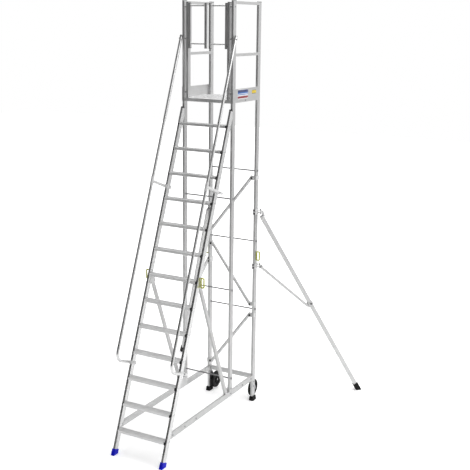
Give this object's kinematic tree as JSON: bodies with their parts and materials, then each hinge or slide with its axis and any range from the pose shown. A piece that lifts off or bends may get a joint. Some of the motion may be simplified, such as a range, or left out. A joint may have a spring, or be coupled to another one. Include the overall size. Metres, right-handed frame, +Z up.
{
  "type": "rolling warehouse ladder",
  "caption": "Mobile aluminium platform ladder with inclined treads, round handrails, guarded platform with a double self-closing gate, rear wheels, swinging outriggers and locking pins.",
  "frame": {"origin": "middle of the bounding box's bottom face, on the floor plane with the outriggers swung out", "axes": "+X towards the climber's right, +Y the way the climber faces, from the treads towards the wheels, +Z up; X = 0 is the mirror plane"},
  "size_m": [2.5818, 2.8928, 4.485],
  "materials": {
    "aluminium_tube": "satin mill-finish extrusion with fine drawing lines",
    "aluminium_round": "satin round tube",
    "aluminium_tread": "ribbed extrusion, satin",
    "cast_bracket": "cast and pressed brackets, dull satin",
    "zinc_steel": "zinc-plated steel",
    "outrigger_tube": "satin mill-finish tube",
    "black_plastic": "moulded, fine grain",
    "black_rubber": "moulded rubber, matt",
    "tyre_rubber": "solid tyre, matt",
    "blue_rubber": "moulded rubber boots, slightly glossy",
    "yellow_plastic": "dipped plastic, glossy"
  },
  "bodies": {
    "frame": {"base_rails": "aluminium_tube", "deck_frame": "aluminium_tread", "deck_planks": "aluminium_tread", "diagonal_clamps": "cast_bracket", "fasteners": "zinc_steel", "front_feet": "blue_rubber", "front_posts": "aluminium_tube", "gate_hinges": "cast_bracket", "gate_posts": "aluminium_tube", "guard_rails": "aluminium_tube", "handrail_brackets": "cast_bracket", "handrails": "aluminium_round", "joint_plates": "cast_bracket", "outrigger_collars": "cast_bracket", "rear_diagonals": "aluminium_round", "rear_feet": "black_rubber", "rear_posts_lower": "aluminium_tube", "rear_posts_upper": "aluminium_tube", "side_braces": "aluminium_tube", "splice_tubes": "aluminium_tube", "stringer_lower_left": "aluminium_tube", "stringer_lower_right": "aluminium_tube", "stringer_upper_left": "aluminium_tube", "stringer_upper_right": "aluminium_tube", "tie_rods": "aluminium_round", "toe_boards": "aluminium_tread", "tread_01": "aluminium_tread", "tread_02": "aluminium_tread", "tread_03": "aluminium_tread", "tread_04": "aluminium_tread", "tread_05": "aluminium_tread", "tread_06": "aluminium_tread", "tread_07": "aluminium_tread", "tread_08": "aluminium_tread", "tread_09": "aluminium_tread", "tread_10": "aluminium_tread", "tread_11": "aluminium_tread", "tread_12": "aluminium_tread", "tread_13": "aluminium_tread", "tread_end_plugs": "black_plastic", "tube_caps": "black_plastic", "wheel_brackets": "zinc_steel"},
    "gate_left": {"gate_left": "aluminium_tube", "gate_caps_left": "black_plastic"},
    "wheel_left": {"wheel_tyre_left": "tyre_rubber", "wheel_hub_left": "black_plastic"},
    "outrigger_left": {"outrigger_leg_left": "outrigger_tube", "outrigger_strut_left": "outrigger_tube", "outrigger_foot_left": "black_rubber"},
    "lock_pin_stringer_left": {"lock_pin_stringer_left": "yellow_plastic"},
    "lock_pin_post_left": {"lock_pin_post_left": "yellow_plastic"},
    "gate_right": {"gate_right": "aluminium_tube", "gate_caps_right": "black_plastic"},
    "wheel_right": {"wheel_tyre_right": "tyre_rubber", "wheel_hub_right": "black_plastic"},
    "outrigger_right": {"outrigger_leg_right": "outrigger_tube", "outrigger_strut_right": "outrigger_tube", "outrigger_foot_right": "black_rubber"},
    "lock_pin_stringer_right": {"lock_pin_stringer_right": "yellow_plastic"},
    "lock_pin_post_right": {"lock_pin_post_right": "yellow_plastic"}
  },
  "joints": [
    {"name": "gate_left_swing", "type": "hinge", "parent": "frame", "child": "gate_left", "pos_m": [-0.2215, -0.0498, 4.236], "axis": [0, 0, 1], "range_deg": [0, 90], "stiffness_Nm_per_rad": 0.5, "springref_deg": -11.46},
    {"name": "wheel_left_spin", "type": "hinge", "parent": "frame", "child": "wheel_left", "pos_m": [-0.248, 0.5722, 0.115], "axis": [1, 0, 0], "continuous": true},
    {"name": "outrigger_left_swing", "type": "hinge", "parent": "frame", "child": "outrigger_left", "pos_m": [-0.332, 0.5282, 1.9265], "axis": [0, 0, -1], "range_deg": [-125, 45]},
    {"name": "lock_pin_stringer_left_pull", "type": "slide", "parent": "frame", "child": "lock_pin_stringer_left", "axis": [-1, 0, 0], "range_m": [0, 0.06]},
    {"name": "lock_pin_post_left_pull", "type": "slide", "parent": "frame", "child": "lock_pin_post_left", "axis": [-1, 0, 0], "range_m": [0, 0.06]},
    {"name": "gate_right_swing", "type": "hinge", "parent": "frame", "child": "gate_right", "pos_m": [0.2215, -0.0498, 4.236], "axis": [0, 0, -1], "range_deg": [0, 90], "stiffness_Nm_per_rad": 0.5, "springref_deg": -11.46},
    {"name": "wheel_right_spin", "type": "hinge", "parent": "frame", "child": "wheel_right", "pos_m": [0.248, 0.5722, 0.115], "axis": [1, 0, 0], "continuous": true},
    {"name": "outrigger_right_swing", "type": "hinge", "parent": "frame", "child": "outrigger_right", "pos_m": [0.332, 0.5282, 1.9265], "axis": [0, 0, 1], "range_deg": [-125, 45]},
    {"name": "lock_pin_stringer_right_pull", "type": "slide", "parent": "frame", "child": "lock_pin_stringer_right", "axis": [1, 0, 0], "range_m": [0, 0.06]},
    {"name": "lock_pin_post_right_pull", "type": "slide", "parent": "frame", "child": "lock_pin_post_right", "axis": [1, 0, 0], "range_m": [0, 0.06]}
  ]
}
